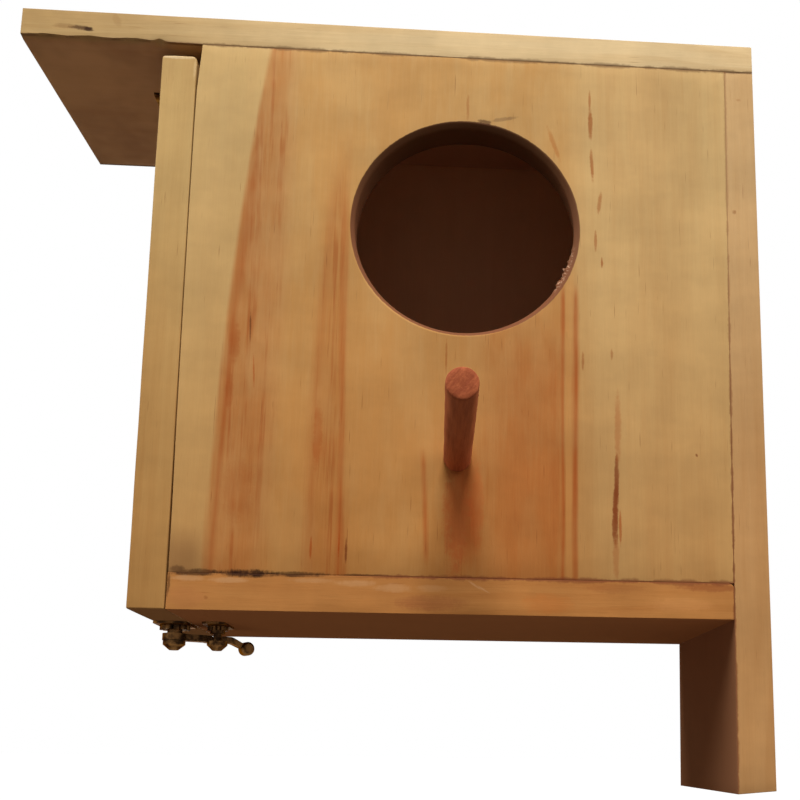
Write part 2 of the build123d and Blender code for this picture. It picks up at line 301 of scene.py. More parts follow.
def pine(
    name, grain, pith, light, dark, ring, contrast, seed, marks=(), flecks=(), seams=(), finish=None,
    gloss=OILED_GLOSS,
):
    """Oiled pine.

    grain is the axis of the fibres, pith where the rings centre, across and through the board.
    """
    graph = Graph(name)
    x, y, z = graph.millimetres()
    point = graph.vector(x, y, z)
    across, through, along = {"X": (y, z, x), "Z": (x, y, z)}[grain]

    def drawn_out(stretch):
        """Coordinates drawn out along the fibres."""
        return graph.vector(across, through, graph.math("MULTIPLY_ADD", along, stretch, seed))

    fibres = drawn_out(FIBRE_STRETCH)
    slow = drawn_out(FIGURE_STRETCH)
    wander = graph.noise(slow, 0.035, 2.0, 0.55)
    ripple = graph.noise(fibres, 0.22, 3.0, 0.6)
    # Growth rings round the pith
    du = graph.math("SUBTRACT", across, pith[0])
    dw = graph.math("SUBTRACT", through, pith[1])
    radius = graph.math("SQRT", graph.squares(du, dw))
    radius = graph.math("MULTIPLY_ADD", wander, RING_WANDER, radius)
    radius = graph.math("MULTIPLY_ADD", ripple, RING_RIPPLE, radius)
    phase = graph.math("FRACT", graph.math("DIVIDE", radius, ring))
    patches = graph.smooth(graph.noise(slow, 0.05, 2.0, 0.5), 0.38, 0.66)
    late = graph.product(graph.smooth(phase, 0.2, 0.86), graph.fall(phase, 0.88, 1.0), patches)
    # Fibres, coarse to fine
    coarse = graph.noise(fibres, 0.4, 3.0, 0.6)
    fine = graph.noise(fibres, 1.15, 4.0, 0.65)
    hair = graph.noise(fibres, 3.4, 2.0, 0.6)
    share = graph.math("MULTIPLY_ADD", late, contrast, graph.math("MULTIPLY_ADD", fine, 0.22, -0.11))
    share = graph.shifted(share, coarse, 0.45, 0.6)
    share = graph.shifted(share, wander, 0.4, 1.1)
    share = graph.math("MAXIMUM", graph.math("MINIMUM", share, 1.0), 0.0)
    colour = graph.mix(share, linear(*light), linear(*dark))
    # Marks of this board, broken up by patches and strands
    sway = graph.shifted(across, ripple, 0.5, MARK_SWAY)
    patch = graph.noise(drawn_out(PATCH_STRETCH), 0.1, 3.0, 0.6)
    broken = graph.smooth(patch, 0.36, 0.6, 0.74, 1.0)
    broken = graph.product(broken, graph.smooth(fine, 0.2, 0.6, 0.85, 1.0))
    strands = graph.smooth(graph.noise(fibres, 0.55, 3.0, 0.6), 0.50, 0.68)
    strands = graph.product(strands, graph.smooth(patch, 0.4, 0.62, 0.3, 1.0))
    for mark in marks:
        shown = mark_share(graph, mark, along, sway)
        colour = graph.mix(graph.product(shown, broken, mark.strength), colour, mark.colour)
        if mark.strands:
            colour = graph.mix(graph.product(shown, strands, mark.strands), colour, RESIN)
    bent = graph.shifted(x, ripple, 0.5, FLECK_SWAY)
    grit = graph.noise(point, 0.55, 3.0, 0.7)
    ragged = graph.math("MULTIPLY_ADD", grit, 0.6, graph.product(fine, 0.4))
    for fleck in flecks:
        part = graph.product(fleck_share(graph, fleck, bent, z, ragged), broken)
        colour = graph.mix(part, colour, fleck.colour)
    # Short dark pores and a soft uneven tone
    pores = graph.smooth(graph.noise(fibres, 2.1, 1.0, 0.4), 0.73, 0.83, 0.0, 0.4)
    colour = graph.mix(pores, colour, PORE, "MULTIPLY")
    cloud = graph.noise(point, 0.03, 4.0, 0.6)
    chatter = graph.noise(graph.vector(graph.product(across, 0.4), through, along), 0.09, 3.0, 0.6)
    tone = graph.product(
        graph.smooth(cloud, 0.25, 0.75, 0.90, 1.08),
        graph.smooth(chatter, 0.25, 0.75, 0.96, 1.04),
        graph.smooth(hair, 0.2, 0.8, 0.98, 1.02),
    )
    colour = graph.mix(1.0, colour, graph.vector(tone, tone, tone), "MULTIPLY")
    # Warmer and deeper towards the bottom
    colour = graph.mix(graph.fall(z, TINT_LOW, TINT_HIGH), colour, BOTTOM_TINT, "MULTIPLY")
    colour = bare_inside(graph, (x, y, z), colour)
    if finish:
        colour = finish(graph, (x, y, z), colour, fine)
    # Painted shade in the joints between boards, with some stain
    seam_wobble = graph.noise(point, 0.12, 4.0, 0.7)
    for seam in seams:
        colour = graph.mix(seam_share(graph, seam, (x, y, z), seam_wobble), colour, seam.colour)
    roughness = graph.smooth(fine, 0.2, 0.8, *WOOD_ROUGH)
    graph.surface(Base_Color=colour, Roughness=roughness, Specular_IOR_Level=gloss)
    graph.bump(graph.math("MULTIPLY_ADD", fine, 0.6, graph.product(hair, 0.35)), WOOD_RELIEF, 0.8)
    return graph.material


# Meshes


ARRIS_STEPS = (0.0, 0.3, 0.65, 1.0)  # shares of an arris where the grid has lines
CLEAR_OF_ARRIS = 1.5  # arrises from an edge to where the even spacing starts
ARRIS_WAVES = 45.0
ARRIS_UNEVEN = 0.55


def lines(low, high, arris, extra):
    """Grid lines from low to high: close together on the rounded arrises, evenly spaced between."""
    near = [arris * s for s in ARRIS_STEPS]
    count = max(2, round((high - low) / GRID))
    between = [low + (high - low) * i / count for i in range(1, count)]
    clear = CLEAR_OF_ARRIS * arris
    inner = [v for v in between if low + clear < v < high - clear]
    every = [low + n for n in near] + inner + [high - n for n in near] + list(extra)
    return sorted({round(v, 7) for v in every})


def box_shell(xs, ys, zs):
    """Vertices and quads on the six sides of a box, along the given grid lines."""
    sizes = (len(xs), len(ys), len(zs))
    index, points, quads = {}, [], []

    def corner(i, j, k):
        key = (i, j, k)
        if key not in index:
            index[key] = len(points)
            points.append((xs[i], ys[j], zs[k]))
        return index[key]

    for axis in range(3):
        first, second = [a for a in range(3) if a != axis]
        for end in (0, sizes[axis] - 1):
            for p in range(sizes[first] - 1):
                for q in range(sizes[second] - 1):
                    cell = []
                    for dp, dq in ((0, 0), (1, 0), (1, 1), (0, 1)):
                        key = [0, 0, 0]
                        key[axis], key[first], key[second] = end, p + dp, q + dq
                        cell.append(corner(*key))
                    outward = (end > 0) != (axis == 1)
                    quads.append(cell if outward else cell[::-1])
    return np.array(points), quads


def ease(points, low, high, arris):
    """Rounds the arrises of a box of points, by an uneven radius."""
    low, high = np.array(low), np.array(high)
    uneven = np.array([noise.noise(Vector(p) * ARRIS_WAVES) for p in points])
    radius = (arris * (1.0 + ARRIS_UNEVEN * uneven))[:, None]
    core = np.clip(points, low + radius, high - radius)
    away = points - core
    length = np.linalg.norm(away, axis=1, keepdims=True)
    outward = away / np.maximum(length, TINY)
    return core + np.where(length > TINY, outward * np.minimum(length, radius), 0.0)


def mesh_object(name, points, faces, body, slot_name, material):
    """An object made of a mesh, riding on a body."""
    mesh = bpy.data.meshes.new(name)
    mesh.from_pydata([tuple(p) for p in points], [], [tuple(f) for f in faces])
    mesh.validate()
    for polygon in mesh.polygons:
        polygon.use_smooth = True
    made = bpy.data.objects.new(name, mesh)
    bpy.context.scene.collection.objects.link(made)
    made.data.materials.append(material)
    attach(made, body)
    return made


TURNED = -0.7  # a face counts as turned down, or towards -X, where its normal is below this


def board(node, name, body, material, shape, extra=None, bare=None, arris=ARRIS):
    """A board that replaces a CAD board: rounded, slightly uneven, then shaped by a function of its points.

    extra gives more grid lines, by axis. bare is a second material, without the sheen of oil and with
    painted shade in a brown, for faces that look down or lie in the box's shadow.
    """
    low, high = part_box(node)
    extra = extra or {}
    grids = [lines(low[a], high[a], arris, extra.get("xyz"[a], ())) for a in range(3)]
    points, faces = box_shell(*grids)
    points = shape(ease(points, [g[0] for g in grids], [g[-1] for g in grids], arris))
    made = mesh_object(name, points, faces, body, "pine_board", material)
    if bare:
        made.data.materials.append(bare)
        # Faces that look down, and the mounting board's inner face in the box's shadow, get the copy with
        # painted shade
        for polygon in made.data.polygons:
            below_floor = node == "mounting_board" and polygon.center.z < UNDER_Z
            in_box_shadow = below_floor and polygon.normal.x < TURNED
            polygon.material_index = int(polygon.normal.z < TURNED or in_box_shadow)
    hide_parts(node)


def ramp(value, low, high):
    """Smooth step from 0 at low to 1 at high, for arrays."""
    share = np.clip((value - low) / (high - low), 0.0, 1.0)
    return share * share * (3.0 - 2.0 * share)


def round_corner(x, z, corner_x, corner_z, radius, side):
    """Rounds an upper corner of a section; side is 1 for the corner towards +X and -1 for the other."""
    dx = np.clip(side * (x - corner_x) / radius + 1.0, 0.0, 1.0)
    dz = np.clip((z - corner_z) / radius + 1.0, 0.0, 1.0)
    pull = np.maximum(dx, dz) / np.maximum(np.hypot(dx, dz), TINY)
    both = (dx > 0) & (dz > 0)
    x = np.where(both, corner_x + side * radius * (dx * pull - 1.0), x)
    return x, np.where(both, corner_z + radius * (dz * pull - 1.0), z)


# Heights and faces from the frame
BOARD_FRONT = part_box("front_board")[0].y
BOARD_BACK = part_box("back_board")[1].y
ROOF_LOW, ROOF_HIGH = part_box("roof_board")
FLOOR_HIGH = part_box("floor_board")[1]
UNDER_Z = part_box("floor_board")[0].z
TAIL_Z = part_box("mounting_board")[0].z
FRONT_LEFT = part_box("front_board")[0].x
MOUNT_TOP_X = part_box("front_board")[1].x  # inner face of the mounting board at the roof
MOUNT_TAIL_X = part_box("mounting_board")[0].x  # and at the tail
DOOR_LOW, DOOR_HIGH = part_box("door_board")

MOUNT_TWIST = 1.2 * MM  # the mounting board is this much thinner at its back edge
ROOF_FALL = 0.9 * MM  # the roof sits this much lower on its right


def mount_face(y, z):
    """Inner face of the tapered mounting board."""
    back = (y - BOARD_FRONT) / (BOARD_BACK - BOARD_FRONT)
    up = (z - TAIL_Z) / (ROOF_LOW.z - TAIL_Z)
    return MOUNT_TAIL_X + (MOUNT_TOP_X - MOUNT_TAIL_X) * up + MOUNT_TWIST * back


def slope(points):
    """Lets the tops of the boards follow the roof, which isn't quite level."""
    right = 1.0 - points[:, 0] / ROOF_LOW.x
    up = np.clip((points[:, 2] - FLOOR_HIGH.z) / (ROOF_LOW.z - FLOOR_HIGH.z), 0.0, 1.0)
    points[:, 2] -= ROOF_FALL * right * up
    return points


def taper_end(points):
    """Cuts a board's +X end along the mounting board's inner face."""
    end, start = points[:, 0].max(), points[:, 0].min()
    share = (points[:, 0] - start) / (end - start)
    points[:, 0] += share * (mount_face(points[:, 1], points[:, 2]) - end)
    return slope(points)


# Roof
ROOF_PLANED = 0.8 * MM  # how much of the lower front arris is planed away at the free end
PLANED_FROM, PLANED_TO = -219.0 * MM, -204.0 * MM  # where the planing dies out
PLANED_WAVES, PLANED_UNEVEN = 420.0, 0.35
PLANED_DEEP, PLANED_HIGH = 3.0 * MM, 2.5 * MM  # how far the planing reaches along Y and Z
CHIP_PLACE, CHIP_WIDTH, CHIP_DEPTH = -211.5 * MM, 1.6 * MM, 1.0 * MM  # a chip out of the arris
CHIP_LINES = (-2.0, -1.2, -0.7, -0.35, 0.0, 0.35, 0.7, 1.2, 2.0)
ROOF_SKEW = 2.6 * MM  # the free end is out of square
SKEW_POWER = 8  # which keeps the skew to that end


def roof_shape(points):
    x, y, z = points.T
    planed = ROOF_PLANED * (1.0 - ramp(x, PLANED_FROM, PLANED_TO))
    planed *= 1.0 + PLANED_UNEVEN * np.sin(x * PLANED_WAVES)
    planed += CHIP_DEPTH * np.exp(-(((x - CHIP_PLACE) / CHIP_WIDTH) ** 2))
    near = np.clip(1.0 - (y - ROOF_LOW.y) / PLANED_DEEP, 0.0, 1.0)
    near *= np.clip(1.0 - (z - ROOF_LOW.z) / PLANED_HIGH, 0.0, 1.0)
    points[:, 2] += planed * near
    back = (y - ROOF_LOW.y) / (ROOF_HIGH.y - ROOF_LOW.y)
    points[:, 0] += ROOF_SKEW * (x / ROOF_LOW.x) ** SKEW_POWER * back
    return slope(points)


UNDER_ROOF = Seam("Z", 127.1, -0.0035, 0.9, 0.75, (108, 78, 50))
OVER_FLOOR = Seam("Z", -60.0, 0.0, 1.0, 0.75, (122, 62, 42), (-120.0, -146.0, 0.1))
BESIDE_MOUNT = Seam("X", -11.4, 0.00936, 0.6, 0.8, (122, 66, 40), (-60.0, 90.0, 0.45))

NAIL_ROWS = 38.5  # the nails go into the middle of the front and the back board
NAIL_EDGE = (1.6, 3.0)  # squares of the radii between which the filler fades
FILLER = (150, 106, 64)
FILLER_SHARE = 0.8


def nailed(graph, colour, along, y, first, spacing, face):
    """Filled nail holes in two rows on one face of a board; face is 1 there and 0 elsewhere."""
    place = graph.math("FLOORED_MODULO", graph.math("SUBTRACT", along, first - spacing / 2), spacing)
    du = graph.math("SUBTRACT", place, spacing / 2)
    dv = graph.math("SUBTRACT", graph.math("ABSOLUTE", y), NAIL_ROWS)
    hole = graph.product(graph.smooth(graph.squares(du, dv), *NAIL_EDGE, FILLER_SHARE, 0.0), face)
    return graph.mix(hole, colour, linear(*FILLER))


DOOR_LINE = (-198.0, -196.0)  # the roof's overhang is to the left of this


def roof_finish(graph, place, colour, _):
    """The free end of the roof is darker, and its overhang browner underneath, with painted shade over the
    door.
    """
    x, y, z = place
    top = graph.product(graph.smooth(z, 135.5, 136.5), graph.smooth(x, -200.0, -198.0))
    colour = nailed(graph, colour, x, y, first=-22.0, spacing=52.0, face=top)
    colour = graph.mix(graph.fall(x, -262.0, -90.0), colour, linear(218, 208, 188), "MULTIPLY")
    # The overhang's underside, blotched, and darker over the door with painted shade
    under = graph.product(graph.fall(z, 127.0, 129.0), graph.fall(x, *DOOR_LINE))
    blotch = graph.smooth(graph.noise(graph.vector(x, y, z), 0.03, 3.0, 0.6), 0.35, 0.65)
    brown = graph.mix(blotch, linear(206, 148, 116), linear(242, 186, 146))
    shade_over_door = graph.product(graph.smooth(x, -215.0, -209.0), graph.smooth(y, -36.0, -10.0, 0.75, 0.3))
    brown = graph.mix(shade_over_door, brown, linear(120, 74, 54))
    colour = graph.mix(graph.product(under, 0.9), colour, brown)
    # The ceiling
    inside = graph.product(
        graph.fall(z, 127.0, 128.8), graph.smooth(x, *DOOR_LINE), graph.smooth(y, -43.0, -42.0)
    )
    return graph.mix(inside, colour, linear(178, 136, 108))


KNOT = (84, 54, 34)
roof_flecks = (
    # Small knot in the front edge, with a shade on both sides
    Fleck(-238.4, 131.8, 5.2, 1.1, KNOT, 0.95, -5.0),
    Fleck(-236.0, 131.5, 1.9, 1.0, (60, 36, 24), 0.95, -10.0),
    Fleck(-244.5, 132.4, 4.5, 1.2, (150, 112, 70), 0.5),
    Fleck(-226.5, 135.5, 1.5, 3.5, (168, 124, 74), 0.25, 25.0),
)
roof_pine = pine(
    "roof_pine", "X", (-20.0, 90.0), (220, 194, 148), (192, 156, 104), ring=6.0, contrast=0.3, seed=11.0,
    flecks=roof_flecks, seams=[UNDER_ROOF], finish=roof_finish,
)
roof_lines = {
    "x": [CHIP_PLACE + CHIP_WIDTH * s for s in CHIP_LINES],
    "y": [BOARD_FRONT + 1.5 * MM, BOARD_FRONT + 3 * MM],
}
board("roof_board", "roof", "box", roof_pine, roof_shape, roof_lines)

# Mounting board
# Share of the painted shade's brown on faces that look down or lie in shadow
SHADE_BROWN_SHARE = 0.85


def shaded_brown(brown):
    """Painted shade for faces that look down or lie in shadow: mostly one brown."""

    def finish(graph, _, colour, __):
        return graph.mix(SHADE_BROWN_SHARE, colour, linear(*brown))

    return finish


def bare_shaded_pine(name, brown, look):
    """The unoiled wood of a board on faces in shadow, with painted shade in a brown and none of its front's
    marks.
    """
    return pine(name, gloss=0.0, finish=shaded_brown(brown), **dict(look, flecks=(), seams=()))


def mount_finish(graph, place, colour, _):
    """Nail holes on the outer face."""
    x, y, z = place
    face = graph.product(graph.smooth(x, -2.5, -1.5), graph.smooth(z, -70.0, -68.0))
    return nailed(graph, colour, z, y, first=-42.0, spacing=50.0, face=face)


TAIL_SKEW = 1.1 * MM  # the tail is cut out of square
TAIL_REACH = 12 * MM  # height over which that fades


def mount_shape(points):
    x, y, z = points.T
    outer = points[:, 0].max()
    share = (outer - x) / (outer - MOUNT_TAIL_X)
    points[:, 0] = outer - share * (outer - mount_face(y, z))
    points[:, 2] += TAIL_SKEW * (1.0 - share) * (1.0 - ramp(z, TAIL_Z, TAIL_Z + TAIL_REACH))
    return slope(points)


mount_look = dict(
    grain="Z", pith=(60.0, 30.0), light=(204, 170, 122), dark=(182, 138, 86), ring=5.0, contrast=0.25,
    seed=37.0,
    flecks=[
        Fleck(-8.2, 72.4, 0.9, 1.1, (146, 96, 52), 0.8),
        Fleck(-5.3, 116.0, 1.2, 0.7, (176, 126, 76), 0.6),
        # Dark line under the roof: painted shade in the joint, with some stain
        Fleck(-5.5, 127.0, 6.5, 0.5, (58, 42, 30), 0.85),
    ],
    seams=[UNDER_ROOF, BESIDE_MOUNT],
)
mount_pine = pine("mounting_pine", finish=mount_finish, **mount_look)
mount_bare_shaded = bare_shaded_pine("mounting_bare_shaded", (164, 112, 82), mount_look)
board("mounting_board", "mounting", "box", mount_pine, mount_shape, bare=mount_bare_shaded)

# Floor
SCUFF = (214, 178, 136)
BURNT = (44, 29, 24)
REDDISH = (150, 84, 52)
floor_flecks = (
    # Dark dirt along the upper arris, towards the door
    Fleck(-188.0, -60.0, 9.0, 1.3, BURNT, 1.0),
    Fleck(-171.0, -60.0, 11.0, 1.5, BURNT, 1.0),
    Fleck(-155.0, -60.0, 11.0, 1.0, BURNT, 0.9),
    Fleck(-195.8, -64.0, 0.6, 5.5, BURNT, 0.6),
    # Pale scuffs under it
    Fleck(-189.5, -61.8, 6.0, 1.2, SCUFF, 0.7),
    Fleck(-177.0, -62.2, 8.0, 1.1, SCUFF, 0.6),
    Fleck(-150.0, -61.8, 9.0, 1.0, SCUFF, 0.45),
    Fleck(-136.0, -62.4, 8.0, 1.3, SCUFF, 0.5),
    Fleck(-124.0, -63.8, 7.0, 1.8, SCUFF, 0.45),
    Fleck(-112.0, -63.6, 6.0, 1.4, SCUFF, 0.3),
    Fleck(-97.5, -62.4, 3.2, 0.4, SCUFF, 0.8, -32.0),
    Fleck(-94.8, -63.6, 3.0, 0.35, SCUFF, 0.7, -32.0),
    Fleck(-183.6, -67.9, 0.9, 0.8, (150, 92, 52), 0.5),
    # Redder and paler patches
    Fleck(-20.0, -61.6, 14.0, 1.8, REDDISH, 0.55),
    Fleck(-52.0, -62.5, 12.0, 2.0, REDDISH, 0.3),
    Fleck(-74.0, -68.0, 10.0, 4.0, (206, 132, 68), 0.5),
    Fleck(-30.0, -67.5, 13.0, 3.0, (214, 166, 110), 0.45),
    Fleck(-112.0, -68.5, 14.0, 3.0, (156, 96, 66), 0.45),
    Fleck(-190.0, -68.0, 8.0, 4.5, (196, 142, 92), 0.5),
)
floor_look = dict(
    grain="X", pith=(10.0, -160.0), light=(200, 152, 94), dark=(180, 124, 68), ring=5.5, contrast=0.2,
    seed=53.0,
    flecks=floor_flecks, seams=[OVER_FLOOR, BESIDE_MOUNT],
)
FLOOR_CORNER = 1.8 * MM


def floor_shape(points):
    rounded = round_corner(points[:, 0], points[:, 2], FLOOR_HIGH.x, FLOOR_HIGH.z, FLOOR_CORNER, 1.0)
    points[:, 0], points[:, 2] = rounded
    return taper_end(points)


corner_lines = [FLOOR_CORNER * s for s in (0.3, 0.6, 0.85, 1.0)]
floor_lines = {
    "x": [FLOOR_HIGH.x - c for c in corner_lines],
    "z": [FLOOR_HIGH.z - c for c in corner_lines],
}
floor_pine = pine("floor_pine", **floor_look)
floor_bare_shaded = bare_shaded_pine("floor_bare_shaded", (198, 136, 92), floor_look)
board("floor_board", "floor", "box", floor_pine, floor_shape, floor_lines, floor_bare_shaded)

# Back board
back_pine = pine(
    "back_pine", "Z", (-90.0, 160.0), (202, 166, 114), (172, 124, 72), ring=6.5, contrast=0.5, seed=71.0,
    seams=[UNDER_ROOF, OVER_FLOOR, BESIDE_MOUNT],
)
board("back_board", "back", "box", back_pine, taper_end)

# Door
DOOR_LEAN = 1.5 * MM
DOOR_T = 12.0 * MM
DOOR_INNER_ROUND = 1.8 * MM
DOOR_OUTER_ROUND = 1.2 * MM


def door_shape(points):
    """Squeezes a box as wide as the leaning door to the board's thickness, and leans it."""
    share = (points[:, 0] - DOOR_LOW.x) / (DOOR_HIGH.x - DOOR_LOW.x)
    z = points[:, 2]
    outer = DOOR_HIGH.x - DOOR_T
    flat = outer + share * DOOR_T
    flat, z = round_corner(flat, z, DOOR_HIGH.x, DOOR_HIGH.z, DOOR_INNER_ROUND, 1.0)
    flat, z = round_corner(flat, z, outer, DOOR_HIGH.z, DOOR_OUTER_ROUND, -1.0)
    points[:, 2] = z
    points[:, 0] = flat - DOOR_LEAN * (z - DOOR_LOW.z) / (DOOR_HIGH.z - DOOR_LOW.z)
    return points


inner_lines = [DOOR_INNER_ROUND * s for s in (0.4, 0.6, 0.8, 1.0)]
outer_lines = [DOOR_OUTER_ROUND * s for s in (0.75, 1.0)]
door_lines = {
    "x": [DOOR_HIGH.x - c for c in inner_lines],
    "z": [DOOR_HIGH.z - c for c in inner_lines + outer_lines],
}
door_look = dict(
    grain="Z", pith=(-260.0, 40.0), light=(196, 164, 108), dark=(174, 134, 80), ring=5.0, contrast=0.3,
    seed=97.0,
    flecks=[
        Fleck(-204.0, 122.3, 7.0, 0.8, (232, 208, 166), 0.7),
        Fleck(-198.5, 118.0, 0.8, 5.0, (226, 198, 150), 0.5),
    ],
)
door_pine = pine("door_pine", **door_look)
door_bare_shaded = bare_shaded_pine("door_bare_shaded", (186, 140, 96), door_look)
board("door_board", "door", "door", door_pine, door_shape, door_lines, door_bare_shaded, WORN_ARRIS)

# Front board with the entrance
HOLE_RADIUS = 38.1 * MM
HOLE_EASING = 1.7 * MM
HOLE_FLARE = 1.5 * MM  # the bore widens to its rear on the right
HOLE_CENTRE = (FRONT_LEFT + 93.2 * MM, FLOOR_HIGH.z + 123.0 * MM)
RAYS = 360
TEAR_FROM, TEAR_TO = math.radians(-38), math.radians(-6)  # torn grain at the front rim
TEAR_DEPTH = 3.2 * MM
TEAR_TEETH = 34.0
RIM_UNEVEN, RIM_WAVES = 0.12, 3.0
# The board's section along a ray from the hole's centre, as shares of each stretch
BORE_STEPS = (0.1, 0.3, 0.55, 0.8, 0.97)  # from the rear of the bore to its front
TORN_FROM, TORN_OVER = 0.8, 0.17  # where in the bore the tear starts, and the length that it grows over
EASING_STEPS = ((0.04, 1.0), (0.35, 0.55), (0.65, 0.2), (0.96, 0.0))  # outwards, and how much of the tear
FRONT_STEPS = (0.0, 0.004, 0.06, 0.16, 0.3, 0.45, 0.6, 0.75, 0.88)
EDGE_STEPS = (0.3, 0.6)
BACK_STEPS = (0.7, 0.4, 0.15, 0.01)
FRONT_START = 0.12 * MM  # the front face starts this far outside the easing
CORNER_TURNS = [math.pi / 2 * step / 3 for step in range(4)]


def ray_to_box(centre, angle, low, high):
    """Distance from centre to the side of a rectangle, in the direction of angle."""
    cx, cz = math.cos(angle), math.sin(angle)
    reach = []
    if abs(cx) > TINY:
        reach.append(((high[0] if cx > 0 else low[0]) - centre[0]) / cx)
    if abs(cz) > TINY:
        reach.append(((high[1] if cz > 0 else low[1]) - centre[1]) / cz)
    return min(reach)


def front_profile(angle, low, high, front, back):
    """Points (distance from the hole's centre, y) round the board's section along one ray."""
    reach = ray_to_box(HOLE_CENTRE, angle, low, high)
    inset = ray_to_box(
        HOLE_CENTRE, angle, (low[0] + ARRIS, low[1] + ARRIS), (high[0] - ARRIS, high[1] - ARRIS)
    )
    tear = 0.0
    if TEAR_FROM < angle < TEAR_TO:
        place = Vector((angle * TEAR_TEETH, 0.0, 3.0))
        swell = math.sin(math.pi * (angle - TEAR_FROM) / (TEAR_TO - TEAR_FROM))
        tear = abs(noise.noise(place)) * TEAR_DEPTH * swell
    flare = HOLE_FLARE * max(0.0, math.cos(angle))
    rear = HOLE_RADIUS + flare
    section = [(rear, back)]
    depth = front + HOLE_EASING - back
    for share in BORE_STEPS:
        keep = max(0.0, share - TORN_FROM) / TORN_OVER
        section.append((rear - flare * share - tear * keep, back + depth * share))
    place = Vector((RIM_WAVES * math.cos(angle), RIM_WAVES * math.sin(angle), 7.0))
    easing = HOLE_EASING * (1.0 + RIM_UNEVEN * noise.noise(place))
    for share, keep in EASING_STEPS:
        section.append((HOLE_RADIUS + easing * share - tear * keep, front + HOLE_EASING * (1 - share)))
    start = HOLE_RADIUS + easing + FRONT_START
    section += [(start + (inset - start) * share, front) for share in FRONT_STEPS]
    for turn in CORNER_TURNS:
        section.append((inset + (reach - inset) * math.sin(turn), front + ARRIS * (1 - math.cos(turn))))
    section += [(reach, front + (back - front) * share) for share in EDGE_STEPS]
    for turn in CORNER_TURNS:
        section.append((inset + (reach - inset) * math.cos(turn), back - ARRIS * (1 - math.sin(turn))))
    return section + [(rear + (inset - rear) * share, back) for share in BACK_STEPS]


EDGE_FROM, EDGE_TO = 1 * MM, 14 * MM  # the wandering of the left edge dies out between these
# How far the front board's left edge wanders from straight: height, and shift along X, in millimetres
EDGE_WANDER = (
    (-60, -0.1), (-42, -0.2), (-28, -0.4), (-12, -0.65), (10, -0.9), (60, -1.3), (92, -1.5), (110, -1.45),
    (115, -1.2), (121, -0.85), (128, -0.45),
)


def tube_faces(rays, count):
    """Quads between rays of count points each, closed both ways."""
    faces = []
    for ray in range(rays):
        here, after = ray * count, (ray + 1) % rays * count
        for step in range(count):
            follow = (step + 1) % count
            faces.append((here + step, here + follow, after + follow, after + step))
    return faces


def front_board():
    low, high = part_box("front_board")
    centre_x, centre_z = HOLE_CENTRE
    corners = [math.atan2(z - centre_z, x - centre_x) for x in (low.x, high.x) for z in (low.z, high.z)]
    angles = [2 * math.pi * i / RAYS - math.pi for i in range(RAYS)]
    for corner in corners:
        nearest = min(range(RAYS), key=lambda i: abs(angles[i] - corner))
        angles[nearest] = corner
    points = []
    for angle in angles:
        cosine, sine = math.cos(angle), math.sin(angle)
        section = front_profile(angle, (low.x, low.z), (high.x, high.z), low.y, high.y)
        points += [(centre_x + reach * cosine, y, centre_z + reach * sine) for reach, y in section]
    faces = tube_faces(RAYS, len(points) // RAYS)
    points = taper_end(np.array(points))
    heights, shifts = np.array(EDGE_WANDER).T * MM
    near = 1.0 - ramp(points[:, 0], FRONT_LEFT + EDGE_FROM, FRONT_LEFT + EDGE_TO)
    points[:, 0] += near * np.interp(points[:, 2], heights, shifts)
    return points, faces


BAND = (178, 114, 56)
DEEP = (172, 88, 36)
PALE = (200, 168, 112)
WARM = (190, 140, 78)
SOOT = (40, 28, 24)
WHOLE = (-90, 150)  # ends of a mark that runs past both ends of the board
front_marks = (
    # Warm middle, between pale sapwood on both sides
    Mark([(-60, -168), (128, -164)], [(-60, -62), (128, -66)], (6, 8), WHOLE, 10, WARM, 0.75),
    Mark(
        [(-60, -205), (128, -205)], [(-60, -184), (26, -182.6), (128, -172.4)],
        (1, 1.5), WHOLE, 10, PALE, 0.6,
    ),
    # First orange band, sharp on its left
    Mark(
        [(-60, -185.2), (26, -182.6), (128, -172.4)], [(-60, -167), (50, -165), (128, -164)],
        (1.0, 5.0), WHOLE, 10, BAND, 0.75, 0.6,
    ),
    streak([(-60, -183.0), (20, -180.6)], 1.8, RUST, 0.7, 1.2, 25.0),
    streak([(44, -178.6), (75, -176.4)], 3.0, RUST, 0.55, 1.5, 15.0),
    # Second band: two strands with a warm zone between
    Mark(
        [(-60, -153), (30, -151), (128, -147)], [(-60, -139), (30, -143), (128, -143)],
        (4.0, 2.0), (-90, 60), 45, BAND, 0.45, 0.5,
    ),
    streak([(-50, -152.0), (30, -150.5), (60, -149.0)], 2.2, RUST, 0.3, 1.6, 25.0),
    streak([(-55, -141.8), (60, -144.3)], 1.6, DEEP, 0.5, 1.2, 25.0),
    # Orange zone below the entrance, deepest beside the two resin lines
    Mark([(-60, -112), (30, -100)], [(-60, -64), (30, -64)], (9.0, 1.5), (-90, 25), 30, BAND, 0.38, 0.15),
    Mark(
        [(-60, -94), (30, -90)], [(-60, -70.5), (30, -69.5)],
        (9.0, 1.0), (-90, 5), 30, (182, 114, 60), 0.6, 0.1,
    ),
    Mark(
        [(-60, -68.2), (38, -68.0)], [(-60, -65.6), (38, -65.6)],
        (0.5, 0.5), (-90, 40), 12, (206, 156, 94), 0.6,
    ),
    streak([(-60, -69.3), (37, -69.0)], 1.1, DEEP, 0.8, 0.7),
    streak([(-60, -65.0), (37, -64.6)], 1.8, DEEP, 0.8, 0.9),
    streak([(-48, -99.0), (-26, -100.0)], 5.0, DEEP, 0.6, 2.5, 12.0),
    streak([(-50, -113.6), (-23, -115.2)], 1.3, DEEP, 0.65, 0.9, 8.0),
)
SHORT = (158, 92, 42)
STREAK = (138, 76, 40)
DASH = (70, 50, 34)
